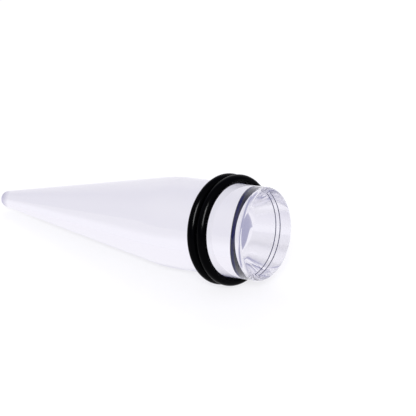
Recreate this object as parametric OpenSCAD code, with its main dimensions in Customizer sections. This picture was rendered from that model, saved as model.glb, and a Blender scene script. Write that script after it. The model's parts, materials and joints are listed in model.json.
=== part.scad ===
// Ear stretching taper: a clear cone that runs into a straight barrel, with two rubber O-rings on
// the barrel. Millimetres, +Z up. It lies on a flat surface at z = 0 as it comes to rest by itself,
// on its shoulder and its back O-ring. The tip points to -X and the flat end to +X, and the origin
// is on the surface under the middle of the whole thing.

/* [Taper] */
// Diameter of the straight barrel, the gauge that the ear is stretched to (5/8 inch)
gauge_d = 16; // [12:0.5:22]
// Length from the tip to the line where the cone's side would meet the barrel's side
cone_len = 39.5; // [32:0.5:60]
// Length from that line to the flat end
barrel_len = 19.5; // [17:0.5:30]
// Radius of the rounded tip
tip_r = 1.5; // [0.5:0.1:2.5]
// Radius of the soft shoulder between the cone and the barrel
shoulder_r = 28; // [5:1:45]
// Radius of the rounded edge of the flat end
end_edge_r = 0.9; // [0.3:0.1:2]

/* [O-rings] */
// Thickness of the round rubber cord that an O-ring is made of
cord_d = 1.7; // [1.2:0.1:2.2]
// How far the cord is pressed flat where it sits on the barrel
cord_flat = 0.2; // [0.05:0.05:0.3]
// Least gap between the barrel and the seat of an O-ring
seat_gap = 0.03; // [0.01:0.01:0.1]
// Distance from the flat end to the middle of the front O-ring
ring_inset = 6.5; // [4.5:0.25:8]
// Gap between the two O-rings
ring_spacing = 0.25; // [0.1:0.05:0.6]
// How far both O-rings sit out of square with the barrel, in degrees
ring_lean = 4; // [0:0.5:6]
// Side on which they lie nearest the tip, in degrees up from the -Y side
ring_lean_side = 22; // [-90:1:90]

/* [Hidden] */
$fn = 180;

taper_len = cone_len + barrel_len;
barrel_r = gauge_d / 2;
cord_r = cord_d / 2;

// The cone's side touches the round tip and runs to the barrel's side at cone_len
cone_rise = cone_len - tip_r;
cone_half_angle = atan2(barrel_r, cone_rise) - asin(tip_r / norm([barrel_r, cone_rise]));

// The shoulder's arc touches the cone's side and the barrel's side this far from their corner
shoulder_reach = shoulder_r * tan(cone_half_angle / 2);
shoulder_at = cone_len + shoulder_reach;

// Half the width of the flat seat, and the bore that clears the barrel with the O-ring leaning
seat_half = sqrt(pow(cord_r, 2) - pow(cord_r - cord_flat, 2));
ring_bore_r = (barrel_r + seat_gap + seat_half * sin(ring_lean)) / cos(ring_lean);
ring_r = ring_bore_r + cord_r - cord_flat;

// Middles of the O-rings, measured along the taper from its tip
ring_front_at = taper_len - ring_inset;
ring_back_at = ring_front_at - (cord_d + ring_spacing) / cos(ring_lean);

// How far the shoulder and an O-ring reach below the tip when the taper's axis rises by a tilt
function shoulder_depth(tilt) =
    shoulder_r + (barrel_r - shoulder_r) * cos(tilt) - shoulder_at * sin(tilt);
function ring_slant(tilt) =
    sin(tilt) * cos(ring_lean) + cos(tilt) * sin(ring_lean) * sin(ring_lean_side);
function ring_depth(tilt, at) =
    cord_r + ring_r * sqrt(1 - pow(ring_slant(tilt), 2)) - at * sin(tilt);

// The tilt at which the shoulder and the back O-ring reach the surface together, found by halving
function settled(low, high, steps) =
    let (middle = (low + high) / 2)
    steps == 0 ? middle
    : ring_depth(middle, ring_back_at) > shoulder_depth(middle) ? settled(middle, high, steps - 1)
    : settled(low, middle, steps - 1);
rest_tilt = settled(0, cone_half_angle, 24);
tip_height = max(shoulder_depth(rest_tilt), ring_depth(rest_tilt, ring_back_at));

// Ends of the whole thing along X, measured from the tip, and the middle between them
end_x = (taper_len - end_edge_r) * cos(rest_tilt) + (barrel_r - end_edge_r) * sin(rest_tilt) + end_edge_r;
tip_x = tip_r * (cos(rest_tilt) - 1);
middle_x = (tip_x + end_x) / 2;

// Lays down what is built upright, with its tip at the origin and its flat end at the top
module lying() {
    translate([-middle_x, 0, tip_height]) rotate([0, 90 - rest_tilt, 0]) children();
}

// Waste outside the shoulder's arc
module shoulder_waste() {
    cone_touch = [barrel_r - shoulder_r * (1 - cos(cone_half_angle)),
                  shoulder_at - shoulder_r * sin(cone_half_angle)];
    barrel_touch = [barrel_r, shoulder_at];
    outwards = [barrel_r, 0];
    difference() {
        polygon([cone_touch, cone_touch + outwards, barrel_touch + outwards, barrel_touch]);
        translate([barrel_r - shoulder_r, shoulder_at]) circle(r = shoulder_r);
    }
}

// Waste outside the rounded edge of the flat end
module end_edge_waste() {
    translate([barrel_r - end_edge_r, taper_len - end_edge_r]) difference() {
        square(2 * end_edge_r);
        circle(r = end_edge_r);
    }
}

// Half outline of the taper, from its axis out
module taper_outline() {
    tip_touch = tip_r * [cos(cone_half_angle), 1 - sin(cone_half_angle)];
    intersection() {
        square([gauge_d, taper_len]);
        union() {
            translate([0, tip_r]) circle(r = tip_r);
            difference() {
                polygon([[0, tip_r], tip_touch, [barrel_r, cone_len], [barrel_r, taper_len], [0, taper_len]]);
                shoulder_waste();
                end_edge_waste();
            }
        }
    }
}

// An O-ring round the taper, with its middle at a distance from the tip
module o_ring(at) {
    translate([0, 0, at]) rotate([0, 0, -90 - ring_lean_side]) rotate([0, ring_lean, 0])
        rotate_extrude() difference() {
            translate([ring_r, 0]) circle(r = cord_r);
            translate([0, -cord_d]) square([ring_bore_r, 2 * cord_d]);
        }
}

module taper_body() {
    color([0.9, 0.91, 0.96], 0.45) lying() rotate_extrude() taper_outline();
}

module o_ring_back() {
    color([0.05, 0.05, 0.06]) lying() o_ring(ring_back_at);
}

module o_ring_front() {
    color([0.05, 0.05, 0.06]) lying() o_ring(ring_front_at);
}

taper_body();
o_ring_back();
o_ring_front();
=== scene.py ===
"""Looks of a clear ear stretching taper with two black O-rings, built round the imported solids.

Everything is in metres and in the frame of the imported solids: +Z up from the surface that the taper
lies on, with its tip towards -X and its flat end towards +X.
"""

import json
import logging
import math
from dataclasses import dataclass
from enum import Enum

import bpy
from mathutils import Matrix, Vector


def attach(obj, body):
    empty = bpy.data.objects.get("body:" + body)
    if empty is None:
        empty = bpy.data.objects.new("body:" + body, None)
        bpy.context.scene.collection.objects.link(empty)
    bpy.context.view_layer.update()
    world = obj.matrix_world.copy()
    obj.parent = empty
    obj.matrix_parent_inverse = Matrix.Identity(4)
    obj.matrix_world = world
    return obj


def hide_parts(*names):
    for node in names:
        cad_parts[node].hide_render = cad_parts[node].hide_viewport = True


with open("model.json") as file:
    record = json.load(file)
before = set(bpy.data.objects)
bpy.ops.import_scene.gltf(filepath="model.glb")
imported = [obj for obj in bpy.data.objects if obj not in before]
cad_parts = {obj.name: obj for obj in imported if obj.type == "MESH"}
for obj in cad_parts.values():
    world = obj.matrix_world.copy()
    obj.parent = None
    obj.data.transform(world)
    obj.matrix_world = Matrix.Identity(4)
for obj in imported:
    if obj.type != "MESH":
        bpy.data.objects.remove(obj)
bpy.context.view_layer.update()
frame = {"record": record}

MM = 0.001
ROOT = "root"

Colour = tuple[float, float, float, float]
Span = tuple[float, float]
Point = tuple[float, float]

logging.basicConfig(level=logging.INFO, format="%(levelname)s %(message)s")
log = logging.getLogger("taper")


class LightUse(Enum):
    """What a light is for."""

    WASH = "lights matte surfaces, and gives no highlight"
    HIGHLIGHT = "shows only as a highlight on the rubber"


class Fade(Enum):
    """How a value runs from one end of its span to the other."""

    EVEN = "LINEAR"
    SOFT = "SMOOTHSTEP"


def mount(name: str) -> dict:
    """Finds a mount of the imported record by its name."""
    return next(m for m in frame["record"]["mounts"] if m["name"] == name)


def arc(centre: Point, radius: float, start: float, end: float, steps: int) -> list[Vector]:
    """Lays out points on an arc in the plane of an outline.

    Args:
        centre: The arc's middle, as distance from the axis and distance along it.
        radius: The arc's radius.
        start: First angle in degrees, from straight out and turning towards the flat end.
        end: Last angle in degrees.
        steps: How many steps the arc is cut into.

    Returns:
        The arc's points, as (distance from the axis, 0, distance along it).
    """
    turns = [math.radians(start + (end - start) * i / steps) for i in range(steps + 1)]
    return [
        Vector((centre[0] + radius * math.cos(t), 0.0, centre[1] + radius * math.sin(t)))
        for t in turns
    ]


class Placement:
    """Where the taper lies: its axis, its two ends and how far it tilts."""

    def __init__(self, length: float) -> None:
        """Works the placement out from the flat end's mount and the taper's length."""
        end = mount("flat_end")
        self.length = length
        self.axis = Vector(end["axis"]).normalized()
        self.end = Vector(end["pos_m"])
        self.tip = self.end - self.axis * length
        self.tilt = math.asin(self.axis.z)


class Tree:
    """A node tree under construction, with short calls for nodes and links."""

    GIVE_NUMBERS = ("LENGTH", "DOT_PRODUCT")

    def __init__(self, tree: bpy.types.NodeTree) -> None:
        """Starts on a tree."""
        self.tree = tree

    def feed(self, node: bpy.types.Node, inputs: dict) -> None:
        """Sets or links inputs of a node.

        Args:
            node: The node.
            inputs: Values or output sockets for its inputs, by name or index.
        """
        for key, value in inputs.items():
            if isinstance(value, bpy.types.NodeSocket):
                self.tree.links.new(value, node.inputs[key])
            else:
                node.inputs[key].default_value = value

    def add(self, kind: str, inputs: dict | None = None, **settings: object) -> bpy.types.Node:
        """Adds a node.

        Args:
            kind: The node's type name.
            inputs: Values or output sockets for its inputs, by name or index.
            **settings: Properties of the node.

        Returns:
            The new node.
        """
        node = self.tree.nodes.new(kind)
        for key, value in settings.items():
            setattr(node, key, value)
        self.feed(node, inputs or {})
        return node

    def math(self, operation: str, *values: object) -> bpy.types.NodeSocket:
        """Adds a step of arithmetic on numbers and returns its result."""
        return self.add("ShaderNodeMath", dict(enumerate(values)), operation=operation).outputs[0]

    def vector(self, operation: str, *values: object) -> bpy.types.NodeSocket:
        """Adds a step of arithmetic on vectors and returns its result."""
        node = self.add("ShaderNodeVectorMath", dict(enumerate(values)), operation=operation)
        return node.outputs["Value" if operation in self.GIVE_NUMBERS else "Vector"]

    def split(self, vector: bpy.types.NodeSocket) -> bpy.types.NodeOutputs:
        """Splits a vector into its X, Y and Z."""
        return self.add("ShaderNodeSeparateXYZ", {0: vector}).outputs

    def join(self, **parts: object) -> bpy.types.NodeSocket:
        """Joins X, Y and Z into a vector, with 0 for those that aren't given."""
        return self.add("ShaderNodeCombineXYZ", parts).outputs[0]

    def ramp(
        self,
        value: bpy.types.NodeSocket,
        span: Span,
        onto: Span = (0.0, 1.0),
        fade: Fade = Fade.EVEN,
    ) -> bpy.types.NodeSocket:
        """Maps a number from one span onto another, and holds it at the ends.

        Args:
            value: The number's socket.
            span: The two ends of the span that it comes from.
            onto: What the two ends become.
            fade: How the number runs between them.

        Returns:
            The mapped number's socket.
        """
        ends = {"From Min": span[0], "From Max": span[1], "To Min": onto[0], "To Max": onto[1]}
        node = self.add("ShaderNodeMapRange", {"Value": value, **ends}, interpolation_type=fade.value)
        return node.outputs[0]

    def mix(self, share: bpy.types.NodeSocket, first: object, second: object) -> bpy.types.NodeSocket:
        """Mixes two colours.

        Args:
            share: The share of the second colour.
            first: The first colour, or its socket.
            second: The second colour, or its socket.

        Returns:
            The mixed colour's socket.
        """
        node = self.add("ShaderNodeMix", {"Factor": share, "A": first, "B": second}, data_type="RGBA")
        return node.outputs["Result"]


@dataclass(frozen=True)
class Seat:
    """How a turned shape sits on the taper, in metres and radians."""

    middle: float = 0.0
    lean: float = 0.0
    lean_side: float = 0.0
    radius: float = 0.0


class Lathe:
    """Geometry Nodes that turn an outline about the axis, seat it on the barrel and lay it down."""

    INPUTS = {
        "Outline Points": "NodeSocketInt",
        "Steps": "NodeSocketInt",
        "Middle": "NodeSocketFloat",
        "Lean": "NodeSocketFloat",
        "Lean Side": "NodeSocketFloat",
        "Seat Radius": "NodeSocketFloat",
        "Tilt": "NodeSocketFloat",
        "Tip": "NodeSocketVector",
        "Finish": "NodeSocketMaterial",
    }
    MERGE_WITHIN = 0.0002 * MM

    def __init__(self) -> None:
        """Builds the tree with its named inputs."""
        self.tree = bpy.data.node_groups.new("lathe", "GeometryNodeTree")
        face = self.tree.interface
        face.new_socket("Geometry", in_out="INPUT", socket_type="NodeSocketGeometry")
        face.new_socket("Geometry", in_out="OUTPUT", socket_type="NodeSocketGeometry")
        for name, kind in self.INPUTS.items():
            face.new_socket(name, in_out="INPUT", socket_type=kind)
        self.nodes = Tree(self.tree)
        self.given = self.nodes.add("NodeGroupInput").outputs
        self.lay_down(self.seat(self.turn()))

    def turn(self) -> bpy.types.NodeSocket:
        """Wraps a grid round the axis, with a row of it for each point of the outline.

        Returns:
            The socket of the turned mesh.
        """
        nodes, given = self.nodes, self.given
        per_row = nodes.math("ADD", given["Steps"], 1.0)
        grid = nodes.add("GeometryNodeMeshGrid", {
            "Vertices X": given["Outline Points"],
            "Vertices Y": per_row,
        })
        index = nodes.add("GeometryNodeInputIndex").outputs[0]
        # Half a point is added so that rounding never finds the row before
        row = nodes.math("FLOOR", nodes.math("DIVIDE", nodes.math("ADD", index, 0.5), per_row))
        column = nodes.math("SUBTRACT", index, nodes.math("MULTIPLY", row, per_row))
        turn = nodes.math("DIVIDE", nodes.math("MULTIPLY", column, math.tau), given["Steps"])
        point = nodes.add("GeometryNodeSampleIndex", {
            "Geometry": given["Geometry"],
            "Value": nodes.add("GeometryNodeInputPosition").outputs[0],
            "Index": row,
        }, data_type="FLOAT_VECTOR")
        parts = nodes.split(point.outputs["Value"])
        wrapped = nodes.join(
            X=nodes.math("MULTIPLY", parts["X"], nodes.math("COSINE", turn)),
            Y=nodes.math("MULTIPLY", parts["X"], nodes.math("SINE", turn)),
            Z=parts["Z"],
        )
        moved = nodes.add("GeometryNodeSetPosition", {"Geometry": grid.outputs[0], "Position": wrapped})
        closed = nodes.add("GeometryNodeMergeByDistance", {
            "Geometry": moved.outputs[0],
            "Distance": self.MERGE_WITHIN,
        })
        return closed.outputs[0]

    def seat(self, turned: bpy.types.NodeSocket) -> bpy.types.NodeSocket:
        """Leans the turned shape, moves it along the axis and presses it flat where the barrel is.

        Args:
            turned: The socket of the turned mesh.

        Returns:
            The socket of the seated mesh.
        """
        nodes, given = self.nodes, self.given
        parts = nodes.split(nodes.add("GeometryNodeInputPosition").outputs[0])
        upwards = nodes.math("MULTIPLY", parts["X"], nodes.math("SINE", given["Lean Side"]))
        sideways = nodes.math("MULTIPLY", parts["Y"], nodes.math("COSINE", given["Lean Side"]))
        across = nodes.math("ADD", upwards, sideways)
        rise = nodes.math("MULTIPLY", across, nodes.math("TANGENT", given["Lean"]))
        along = nodes.math("ADD", nodes.math("ADD", parts["Z"], rise), given["Middle"])
        radius = nodes.vector("LENGTH", nodes.join(X=parts["X"], Y=parts["Y"]))
        press = nodes.math("DIVIDE", nodes.math("MAXIMUM", radius, given["Seat Radius"]), radius)
        seated = nodes.join(
            X=nodes.math("MULTIPLY", parts["X"], press),
            Y=nodes.math("MULTIPLY", parts["Y"], press),
            Z=along,
        )
        return nodes.add("GeometryNodeSetPosition", {"Geometry": turned, "Position": seated}).outputs[0]

    def lay_down(self, seated: bpy.types.NodeSocket) -> None:
        """Lays the shape down on the surface, smooths it and gives it its finish.

        Args:
            seated: The socket of the seated mesh.
        """
        nodes, given = self.nodes, self.given
        lying = nodes.add("GeometryNodeTransform", {
            "Geometry": seated,
            "Translation": given["Tip"],
            "Rotation": nodes.join(Y=nodes.math("SUBTRACT", math.pi / 2, given["Tilt"])),
        })
        smooth = nodes.add("GeometryNodeSetShadeSmooth", {"Geometry": lying.outputs[0]})
        real = nodes.add("GeometryNodeRealizeInstances", {"Geometry": smooth.outputs[0]})
        dressed = nodes.add("GeometryNodeSetMaterial", {
            "Geometry": real.outputs[0],
            "Material": given["Finish"],
        })
        nodes.add("NodeGroupOutput", {0: dressed.outputs[0]})

    def make(
        self,
        name: str,
        outline: list[Vector],
        steps: int,
        placement: Placement,
        finish: bpy.types.Material,
        seat: Seat = Seat(),
    ) -> bpy.types.Object:
        """Turns an outline into a plain mesh piece.

        Args:
            name: The piece's name.
            outline: The outline's points, in order.
            steps: How many steps the turn is cut into.
            placement: Where the taper lies.
            finish: The piece's material.
            seat: How the piece sits on the taper.

        Returns:
            The piece, with its place in its mesh.
        """
        values = {
            "Outline Points": len(outline),
            "Steps": steps,
            "Middle": seat.middle,
            "Lean": seat.lean,
            "Lean Side": seat.lean_side,
            "Seat Radius": seat.radius,
            "Tilt": placement.tilt,
            "Tip": placement.tip,
            "Finish": finish,
        }
        scene = bpy.context.scene
        mesh = bpy.data.meshes.new(name + "_outline")
        mesh.from_pydata(outline, [(i, i + 1) for i in range(len(outline) - 1)], [])
        holder = bpy.data.objects.new(name + "_outline", mesh)
        scene.collection.objects.link(holder)
        modifier = holder.modifiers.new("lathe", "NODES")
        modifier.node_group = self.tree
        for item in self.tree.interface.items_tree:
            if item.item_type == "SOCKET" and item.in_out == "INPUT" and item.name in values:
                modifier[item.identifier] = values[item.name]
        evaluated = holder.evaluated_get(bpy.context.evaluated_depsgraph_get())
        baked = bpy.data.meshes.new_from_object(evaluated)
        holder.modifiers.remove(modifier)
        bpy.data.objects.remove(holder)
        bpy.data.meshes.remove(mesh)
        # The grid that the tree starts from brings an empty material slot, ahead of the finish
        baked.materials.pop(index=0)
        baked.name = name
        piece = bpy.data.objects.new(name, baked)
        scene.collection.objects.link(piece)
        return piece


class EffectGroups:
    """Shader node groups for the effects that both finishes use."""

    BLOTCH_SCALE = 0.12
    BLOTCH_DETAIL = 3.0
    SCRATCH_STRETCH = (1.0, 0.35, 0.35)
    SCRATCH_SCALE = 0.22
    SCRATCH_WIDTH = 0.012
    SPECK_SIZE = 0.14

    def __init__(self) -> None:
        """Builds the groups."""
        self.wear = self.make_wear()
        self.axis_distance = self.make_axis_distance()

    @staticmethod
    def start(name: str, inputs: dict[str, str], outputs: list[str]) -> tuple[Tree, bpy.types.NodeOutputs]:
        """Starts a shader node group with named sockets.

        Args:
            name: The group's name.
            inputs: Input names and socket types.
            outputs: Names of the outputs, which are all numbers.

        Returns:
            The tree and what its input node gives.
        """
        group = bpy.data.node_groups.new(name, "ShaderNodeTree")
        for label, kind in inputs.items():
            group.interface.new_socket(label, in_out="INPUT", socket_type=kind)
        for label in outputs:
            group.interface.new_socket(label, in_out="OUTPUT", socket_type="NodeSocketFloat")
        tree = Tree(group)
        return tree, tree.add("NodeGroupInput").outputs

    def make_wear(self) -> bpy.types.NodeTree:
        """Builds the traces of handling: soft blotches, fine scratches and specks of dust.

        Returns:
            The group, whose outputs run from 0 to 1.
        """
        inputs = {
            "Place": "NodeSocketVector",
            "Grain Per Metre": "NodeSocketFloat",
            "Speck Share": "NodeSocketFloat",
        }
        nodes, given = self.start("handling_wear", inputs, ["Blotches", "Scratches", "Specks"])
        place, grain = given["Place"], given["Grain Per Metre"]
        blotches = nodes.add("ShaderNodeTexNoise", {
            "Vector": place,
            "Scale": nodes.math("MULTIPLY", grain, self.BLOTCH_SCALE),
            "Detail": self.BLOTCH_DETAIL,
        })
        lines = nodes.add("ShaderNodeTexVoronoi", {
            "Vector": nodes.vector("MULTIPLY", place, self.SCRATCH_STRETCH),
            "Scale": nodes.math("MULTIPLY", grain, self.SCRATCH_SCALE),
            "Randomness": 1.0,
        }, feature="DISTANCE_TO_EDGE")
        cells = nodes.add("ShaderNodeTexVoronoi", {"Vector": place, "Scale": grain, "Randomness": 1.0})
        near = nodes.math("LESS_THAN", cells.outputs["Distance"], self.SPECK_SIZE)
        chosen = nodes.math("LESS_THAN", nodes.split(cells.outputs["Color"])["X"], given["Speck Share"])
        nodes.add("NodeGroupOutput", {
            "Blotches": blotches.outputs["Fac"],
            "Scratches": nodes.ramp(lines.outputs["Distance"], (0.0, self.SCRATCH_WIDTH), (1.0, 0.0)),
            "Specks": nodes.math("MULTIPLY", near, chosen),
        })
        return nodes.tree

    def make_axis_distance(self) -> bpy.types.NodeTree:
        """Builds the distance from the taper's axis and the distance along it from the tip.

        Returns:
            The group, whose outputs are in metres.
        """
        inputs = {name: "NodeSocketVector" for name in ("Place", "Tip", "Axis")}
        nodes, given = self.start("axis_distance", inputs, ["Distance", "Along"])
        offset = nodes.vector("SUBTRACT", given["Place"], given["Tip"])
        across = nodes.vector("CROSS_PRODUCT", offset, given["Axis"])
        nodes.add("NodeGroupOutput", {
            "Distance": nodes.vector("LENGTH", across),
            "Along": nodes.vector("DOT_PRODUCT", offset, given["Axis"]),
        })
        return nodes.tree


class Finish:
    """A material under construction: a Principled shader, its output and the place on the object."""

    def __init__(self, name: str) -> None:
        """Makes the material."""
        self.material = bpy.data.materials.new(name)
        self.material.use_nodes = True
        self.material.node_tree.nodes.clear()
        self.nodes = Tree(self.material.node_tree)
        self.shader = self.nodes.add("ShaderNodeBsdfPrincipled")
        self.nodes.add("ShaderNodeOutputMaterial", {"Surface": self.shader.outputs[0]})
        self.place = self.nodes.add("ShaderNodeTexCoord").outputs["Object"]

    def group(self, tree: bpy.types.NodeTree, values: dict) -> bpy.types.NodeOutputs:
        """Adds a node group at the place on the object.

        Args:
            tree: The group's tree.
            values: Values for its other inputs.

        Returns:
            The group's outputs.
        """
        return self.nodes.add("ShaderNodeGroup", {"Place": self.place, **values}, node_tree=tree).outputs

    def drive(self, inputs: dict) -> None:
        """Sets or links inputs of the shader."""
        self.nodes.feed(self.shader, inputs)


@dataclass(frozen=True)
class ClearAcrylic:
    """Polished clear acrylic with a faint lilac cast, and painted shade as a deeper tint in the rounded tip
    and on the flat end's surface.
    """

    tint: Colour = (0.87, 0.858, 0.905, 1.0)
    speck_tint: Colour = (0.86, 0.86, 0.9, 1.0)
    end_face_painted_shade: Colour = (0.8, 0.787, 0.848, 1.0)
    end_shade_depth: float = 0.2 * MM
    tip_painted_shade: Colour = (0.42, 0.40, 0.54, 1.0)
    tip_shade_depth: float = 0.2 * MM
    tip_shade_fade: float = 1.1 * MM
    grain_per_metre: float = 900.0
    speck_share: float = 0.02
    index: float = 1.49
    roughness: Span = (0.004, 0.012)
    scratch_depth: float = 0.0015 * MM
    scratch_strength: float = 0.1

    def material(self, effects: EffectGroups, placement: Placement) -> bpy.types.Material:
        """Makes the material.

        Args:
            effects: The shared effect groups.
            placement: Where the taper lies.

        Returns:
            The material.
        """
        finish = Finish("clear_acrylic")
        nodes = finish.nodes
        wear = finish.group(effects.wear, {
            "Grain Per Metre": self.grain_per_metre,
            "Speck Share": self.speck_share,
        })
        along = finish.group(effects.axis_distance, {
            "Tip": placement.tip,
            "Axis": placement.axis,
        })["Along"]
        # Painted shade: the acrylic is tinted dark violet near the tip's point, fading out along the axis,
        # for the shadow under the tip seen through it
        tip_shade_span = (self.tip_shade_depth, self.tip_shade_depth + self.tip_shade_fade)
        # Painted shade: the outermost 0.2 mm of acrylic at the flat end gets a darker lilac tint, which
        # sets the tone of the end face
        end_shade_mask = nodes.math("GREATER_THAN", along, placement.length - self.end_shade_depth)
        speckled = nodes.mix(wear["Specks"], self.tint, self.speck_tint)
        end_shaded = nodes.mix(end_shade_mask, speckled, self.end_face_painted_shade)
        bump = nodes.add("ShaderNodeBump", {
            "Height": wear["Scratches"],
            "Distance": self.scratch_depth,
            "Strength": self.scratch_strength,
        }, invert=True)
        finish.drive({
            "Base Color": nodes.mix(nodes.ramp(along, tip_shade_span, (1.0, 0.0)), end_shaded, self.tip_painted_shade),
            "Roughness": nodes.ramp(wear["Blotches"], (0.0, 1.0), self.roughness),
            "Normal": bump.outputs[0],
            "Metallic": 0.0,
            "Transmission Weight": 1.0,
            "IOR": self.index,
        })
        return finish.material


@dataclass(frozen=True)
class BlackRubber:
    """Black nitrile rubber, without shine where it is pressed flat against the acrylic, and painted navy
    there as a painted sheen for the blue cast that it shows through the acrylic.
    """

    skin: Colour = (0.0004, 0.0004, 0.0006, 1.0)
    dust: Colour = (0.006, 0.006, 0.007, 1.0)
    # Painted sheen: navy painted where the rubber touches the acrylic, for the blue cast that black rubber
    # shows through it
    pressed: Colour = (0.006, 0.008, 0.14, 1.0)
    pressed_within: float = 8.02 * MM
    pressed_fade: float = 0.03 * MM
    grain_per_metre: float = 5200.0
    speck_share: float = 0.05
    roughness: Span = (0.14, 0.22)
    shine: Span = (0.02, 0.0)
    unevenness: float = 0.01 * MM
    uneven_strength: float = 0.3

    def material(self, effects: EffectGroups, placement: Placement) -> bpy.types.Material:
        """Makes the material.

        Args:
            effects: The shared effect groups.
            placement: Where the taper lies.

        Returns:
            The material.
        """
        finish = Finish("black_rubber")
        nodes = finish.nodes
        wear = finish.group(effects.wear, {
            "Grain Per Metre": self.grain_per_metre,
            "Speck Share": self.speck_share,
        })
        away = finish.group(effects.axis_distance, {
            "Tip": placement.tip,
            "Axis": placement.axis,
        })["Distance"]
        # Mask of the pressed seat, which takes the painted navy sheen and loses its shine
        seat = nodes.ramp(away, (self.pressed_within, self.pressed_within + self.pressed_fade), (1.0, 0.0))
        bump = nodes.add("ShaderNodeBump", {
            "Height": wear["Blotches"],
            "Distance": self.unevenness,
            "Strength": self.uneven_strength,
        })
        finish.drive({
            "Base Color": nodes.mix(seat, nodes.mix(wear["Specks"], self.skin, self.dust), self.pressed),
            "Roughness": nodes.ramp(wear["Blotches"], (0.0, 1.0), self.roughness),
            "Normal": bump.outputs[0],
            "Metallic": 0.0,
            "Specular IOR Level": nodes.ramp(seat, (0.0, 1.0), self.shine),
        })
        return finish.material


@dataclass(frozen=True)
class TaperBody:
    """The clear body: a rounded tip, a long cone, a soft shoulder and a straight barrel with a flat end.

    Sizes are in metres, and places are measured along the axis from the tip. A row of points stands
    at the support distance from each edge, so that smooth shading keeps to its own side of it.
    """

    barrel_radius: float = mount("lobe_seat")["dims"]["r_mm"] * MM
    length: float = 59.0 * MM
    cone_length: float = 39.5 * MM
    tip_radius: float = 1.5 * MM
    shoulder_radius: float = 28.0 * MM
    end_edge_radius: float = 0.9 * MM
    support: float = 0.05 * MM
    steps_round: int = 1024
    edge_steps: int = 14
    barrel_steps: int = 6
    shoulder_steps: int = 20
    cone_steps: int = 8
    tip_steps: int = 16

    @property
    def cone_half_angle(self) -> float:
        """Angle between the cone's side and the axis, in radians."""
        rise = self.cone_length - self.tip_radius
        reach = math.hypot(self.barrel_radius, rise)
        return math.atan2(self.barrel_radius, rise) - math.asin(self.tip_radius / reach)

    @property
    def shoulder_at(self) -> float:
        """Where the shoulder's arc runs into the straight barrel."""
        return self.cone_length + self.shoulder_radius * math.tan(self.cone_half_angle / 2)

    def barrel_outline(self) -> list[Vector]:
        """Lays out the flat end, its rounded edge and the straight barrel.

        Returns:
            The points from the middle of the flat end to near the shoulder.
        """
        flat_edge = self.barrel_radius - self.end_edge_radius
        barrel_end = self.length - self.end_edge_radius
        end = [Vector((r, 0.0, self.length)) for r in (0.0, flat_edge / 2, flat_edge - self.support)]
        edge = arc((flat_edge, barrel_end), self.end_edge_radius, 90.0, 0.0, self.edge_steps)
        near_edge = barrel_end - self.support
        run = self.shoulder_at + self.support - near_edge
        barrel = [
            Vector((self.barrel_radius, 0.0, near_edge + run * i / self.barrel_steps))
            for i in range(self.barrel_steps + 1)
        ]
        return end + edge + barrel

    def cone_outline(self) -> list[Vector]:
        """Lays out the shoulder, the cone's side and the rounded tip.

        Returns:
            The points from the shoulder to the middle of the tip.
        """
        half = math.degrees(self.cone_half_angle)
        middle = (self.barrel_radius - self.shoulder_radius, self.shoulder_at)
        shoulder = arc(middle, self.shoulder_radius, 0.0, -half, self.shoulder_steps)
        tip = arc((0.0, self.tip_radius), self.tip_radius, -half, -90.0, self.tip_steps)
        tip[-1].x = 0.0
        run = tip[0] - shoulder[-1]
        inset = self.support / run.length
        shares = [inset, *(i / self.cone_steps for i in range(1, self.cone_steps)), 1.0 - inset]
        return shoulder + [shoulder[-1] + run * share for share in shares] + tip

    def build(self, lathe: Lathe, placement: Placement, finish: bpy.types.Material) -> bpy.types.Object:
        """Builds the body, dresses it and puts it in place of its solid.

        Args:
            lathe: What turns outlines.
            placement: Where the taper lies.
            finish: The body's material.

        Returns:
            The piece.
        """
        outline = self.barrel_outline() + self.cone_outline()
        piece = lathe.make("clear_taper", outline, self.steps_round, placement, finish)
        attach(piece, ROOT)
        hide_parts("taper_body")
        return piece


@dataclass(frozen=True)
class RubberRing:
    """An O-ring that sits stretched on the barrel and leans a little, in metres and radians.

    Its section is pressed flat at the seat radius, just inside the barrel's surface, because rubber
    that touches clear acrylic shows through it.
    """

    node: str
    middle: float
    outer_radius: float = 9.563 * MM
    inner_radius: float = 7.977 * MM
    cord_half_width: float = 0.85 * MM
    seat_radius: float = 7.985 * MM
    lean: float = math.radians(4.0)
    lean_side: float = math.radians(22.0)
    steps_round: int = 360
    section_steps: int = 72

    def outline(self) -> list[Vector]:
        """Lays out the cord's section, slightly flattened by the stretch.

        Returns:
            The section's points, with the first one again at the end.
        """
        middle = (self.outer_radius + self.inner_radius) / 2
        half_depth = (self.outer_radius - self.inner_radius) / 2
        turns = [-math.tau * i / self.section_steps for i in range(self.section_steps)]
        section = [
            Vector((middle + half_depth * math.cos(t), 0.0, self.cord_half_width * math.sin(t)))
            for t in turns
        ]
        return section + [section[0].copy()]

    def build(self, lathe: Lathe, placement: Placement, finish: bpy.types.Material) -> bpy.types.Object:
        """Builds the ring, dresses it and puts it in place of its solid.

        Args:
            lathe: What turns outlines.
            placement: Where the taper lies.
            finish: The ring's material.

        Returns:
            The piece.
        """
        name = self.node + "_rubber"
        seat = Seat(self.middle, self.lean, self.lean_side, self.seat_radius)
        piece = lathe.make(name, self.outline(), self.steps_round, placement, finish, seat)
        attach(piece, ROOT)
        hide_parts(self.node)
        return piece


@dataclass(frozen=True)
class RingPair:
    """The two O-rings side by side near the flat end, in metres."""

    inset: float = 6.5 * MM
    spacing: float = 0.25 * MM

    def rings(self, length: float) -> list[RubberRing]:
        """Places the two O-rings.

        Args:
            length: The taper's length.

        Returns:
            The back ring and the front ring.
        """
        front = length - self.inset
        step = (2 * RubberRing.cord_half_width + self.spacing) / math.cos(RubberRing.lean)
        return [RubberRing("o_ring_back", front - step), RubberRing("o_ring_front", front)]


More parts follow.
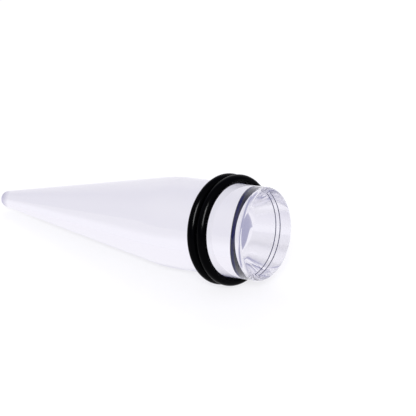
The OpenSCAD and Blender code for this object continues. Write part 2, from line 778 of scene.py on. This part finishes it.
class Viewpoint:
    """The camera, placed so that the flat end and the axis fall where the photograph has them."""

    PICTURE_SIDE = 416.0
    FOCAL_PIXELS = 2200.0
    END_PIXEL = (266.3, 234.55)
    END_DEPTH = 370.7 * MM
    TOWARDS_CAMERA = math.radians(35.67)
    FALL_IN_PICTURE = math.radians(7.55)
    SENSOR = 36.0
    SEES_FROM = 1.0 * MM
    SEES_TO = 10.0

    def __init__(self, placement: Placement) -> None:
        """Works out where the camera stands.

        Args:
            placement: Where the taper lies.
        """
        lean, fall = self.TOWARDS_CAMERA, self.FALL_IN_PICTURE
        axis = Vector((math.cos(lean) * math.cos(fall), -math.cos(lean) * math.sin(fall), math.sin(lean)))
        drop, rise = -axis.y, axis.z
        self.elevation = math.atan2(drop, rise) + math.asin(placement.axis.z / math.hypot(drop, rise))
        up = Vector((0.0, math.cos(self.elevation), math.sin(self.elevation)))
        seen = self.triad(up, axis)
        real = self.triad(Vector((0.0, 0.0, 1.0)), placement.axis)
        self.turn = real @ seen.transposed()
        half = self.PICTURE_SIDE / 2
        reach = self.END_DEPTH / self.FOCAL_PIXELS
        end_seen = Vector((
            (self.END_PIXEL[0] - half) * reach,
            (half - self.END_PIXEL[1]) * reach,
            -self.END_DEPTH,
        ))
        self.place = placement.end - self.turn @ end_seen

    @staticmethod
    def triad(up: Vector, axis: Vector) -> Matrix:
        """Builds a matrix of three square directions from the way up and the taper's axis."""
        side = up.cross(axis).normalized()
        return Matrix((up, side, up.cross(side))).transposed()

    def build(self) -> bpy.types.Object:
        """Makes the camera.

        Returns:
            The camera.
        """
        data = bpy.data.cameras.new("viewpoint")
        data.sensor_width = self.SENSOR
        data.lens = self.SENSOR * self.FOCAL_PIXELS / self.PICTURE_SIDE
        data.clip_start = self.SEES_FROM
        data.clip_end = self.SEES_TO
        camera = bpy.data.objects.new("viewpoint", data)
        camera.matrix_world = Matrix.Translation(self.place) @ self.turn.to_4x4()
        bpy.context.scene.collection.objects.link(camera)
        bpy.context.scene.camera = camera
        return camera


@dataclass(frozen=True)
class Softbox:
    """A flat soft light that faces the taper, with angles in degrees, sizes in metres, power in watts."""

    name: str
    use: LightUse
    azimuth: float
    elevation: float
    distance: float
    width: float
    height: float
    power: float

    def build(self, target: Vector, rubber: bpy.types.Collection) -> bpy.types.Object:
        """Makes the light.

        Args:
            target: The point that it faces.
            rubber: The O-rings, which alone take a highlight.

        Returns:
            The light.
        """
        turn, rise = math.radians(self.azimuth), math.radians(self.elevation)
        out = Vector((math.cos(rise) * math.cos(turn), math.cos(rise) * math.sin(turn), math.sin(rise)))
        data = bpy.data.lights.new(self.name, "AREA")
        data.shape = "RECTANGLE"
        data.size = self.width
        data.size_y = self.height
        data.energy = self.power
        light = bpy.data.objects.new(self.name, data)
        light.location = target + out * self.distance
        light.rotation_euler = out.to_track_quat("Z", "Y").to_euler()
        light.visible_transmission = False
        light.visible_diffuse = self.use is LightUse.WASH
        light.visible_glossy = self.use is LightUse.HIGHLIGHT
        if self.use is LightUse.HIGHLIGHT:
            light.light_linking.receiver_collection = rubber
        bpy.context.scene.collection.objects.link(light)
        return light


@dataclass(frozen=True)
class FloorCard:
    """The pale matte card that the taper lies on, which glows so that the shadows on it stay light."""

    side: float = 4.0
    base: Colour = (0.2, 0.2, 0.2, 1.0)
    glow: Colour = (0.98, 0.975, 1.0, 1.0)
    glow_strength: float = 0.775
    roughness: float = 0.9

    def build(self) -> bpy.types.Object:
        """Makes the floor.

        Returns:
            The floor.
        """
        half = self.side / 2
        mesh = bpy.data.meshes.new("floor")
        corners = [(-half, -half, 0.0), (half, -half, 0.0), (half, half, 0.0), (-half, half, 0.0)]
        mesh.from_pydata(corners, [], [(0, 1, 2, 3)])
        finish = Finish("floor_card")
        finish.drive({
            "Base Color": self.base,
            "Emission Color": self.glow,
            "Emission Strength": self.glow_strength,
            "Roughness": self.roughness,
            "Specular IOR Level": 0.0,
        })
        mesh.materials.append(finish.material)
        card = bpy.data.objects.new("floor", mesh)
        bpy.context.scene.collection.objects.link(card)
        return card


@dataclass(frozen=True)
class Surroundings:
    """Light from all round: dim and lilac, bright high up in front, and a white backdrop at the back.

    Heights are the sine of the elevation. Sides are the cosine of the angle from the backdrop's middle.
    """

    dim: Colour = (0.40, 0.40, 0.57, 1.0)
    bright: Colour = (0.92, 0.91, 0.98, 1.0)
    bright_heights: Span = (0.15, 0.6)
    front_sides: Span = (-0.1, 0.5)
    backdrop: Colour = (1.05, 1.04, 1.075, 1.0)
    backdrop_azimuth: float = math.radians(118.0)
    backdrop_sides: Span = (0.5, 0.97)
    backdrop_heights: Span = (0.46, 0.78)

    def build(self) -> bpy.types.World:
        """Makes the surroundings.

        Returns:
            The world.
        """
        world = bpy.data.worlds.new("surroundings")
        world.use_nodes = True
        world.node_tree.nodes.clear()
        nodes = Tree(world.node_tree)
        towards = nodes.add("ShaderNodeTexCoord").outputs["Generated"]
        height = nodes.split(towards)["Z"]
        back = (math.cos(self.backdrop_azimuth), math.sin(self.backdrop_azimuth), 0.0)
        high = nodes.ramp(height, self.bright_heights, fade=Fade.SOFT)
        behind = nodes.vector("DOT_PRODUCT", towards, back)
        in_front = nodes.ramp(behind, self.front_sides, (1.0, 0.0), Fade.SOFT)
        colour = nodes.mix(nodes.math("MULTIPLY", high, in_front), self.dim, self.bright)
        level = nodes.vector("NORMALIZE", nodes.vector("MULTIPLY", towards, (1.0, 1.0, 0.0)))
        wide = nodes.ramp(nodes.vector("DOT_PRODUCT", level, back), self.backdrop_sides, fade=Fade.SOFT)
        tall = nodes.ramp(height, self.backdrop_heights, (1.0, 0.0), Fade.SOFT)
        colour = nodes.mix(nodes.math("MULTIPLY", wide, tall), colour, self.backdrop)
        glow = nodes.add("ShaderNodeBackground", {"Color": colour})
        nodes.add("ShaderNodeOutputWorld", {"Surface": glow.outputs[0]})
        bpy.context.scene.world = world
        return world


@dataclass(frozen=True)
class Studio:
    """The floor, the surroundings and the lights, and how often light may bounce in the acrylic."""

    floor: FloorCard = FloorCard()
    surroundings: Surroundings = Surroundings()
    lights: tuple[Softbox, ...] = (
        Softbox(
            "front_light", LightUse.WASH,
            azimuth=-56.0, elevation=34.0, distance=2.4, width=0.75, height=0.4, power=48.0,
        ),
        Softbox(
            "rear_light", LightUse.WASH,
            azimuth=128.0, elevation=45.0, distance=2.4, width=1.5, height=0.9, power=23.0,
        ),
        Softbox(
            "strip_light", LightUse.HIGHLIGHT,
            azimuth=-54.0, elevation=42.0, distance=0.5, width=0.13, height=0.31, power=13.0,
        ),
    )
    bounces: int = 64

    def build(self, placement: Placement, rings: list[bpy.types.Object]) -> None:
        """Builds the studio round the taper.

        Args:
            placement: Where the taper lies.
            rings: The O-rings.
        """
        scene = bpy.context.scene
        rubber = bpy.data.collections.new("rubber")
        for ring in rings:
            rubber.objects.link(ring)
        self.floor.build()
        self.surroundings.build()
        for light in self.lights:
            light.build((placement.tip + placement.end) / 2, rubber)
        scene.view_settings.view_transform = "Standard"
        scene.cycles.max_bounces = self.bounces
        scene.cycles.transmission_bounces = self.bounces
        scene.cycles.glossy_bounces = self.bounces


def main() -> None:
    """Builds the taper, its O-rings, the studio and the camera."""
    body = TaperBody()
    placement = Placement(body.length)
    effects = EffectGroups()
    lathe = Lathe()
    clear = ClearAcrylic().material(effects, placement)
    rubber = BlackRubber().material(effects, placement)
    taper = body.build(lathe, placement, clear)
    rings = [ring.build(lathe, placement, rubber) for ring in RingPair().rings(body.length)]
    for piece in [taper, *rings]:
        log.info("%s: %d faces", piece.name, len(piece.data.polygons))
    Studio().build(placement, rings)
    view = Viewpoint(placement)
    view.build()
    log.info("camera at %s, elevation %.2f degrees", view.place, math.degrees(view.elevation))


if __name__ == "__main__":
    main()
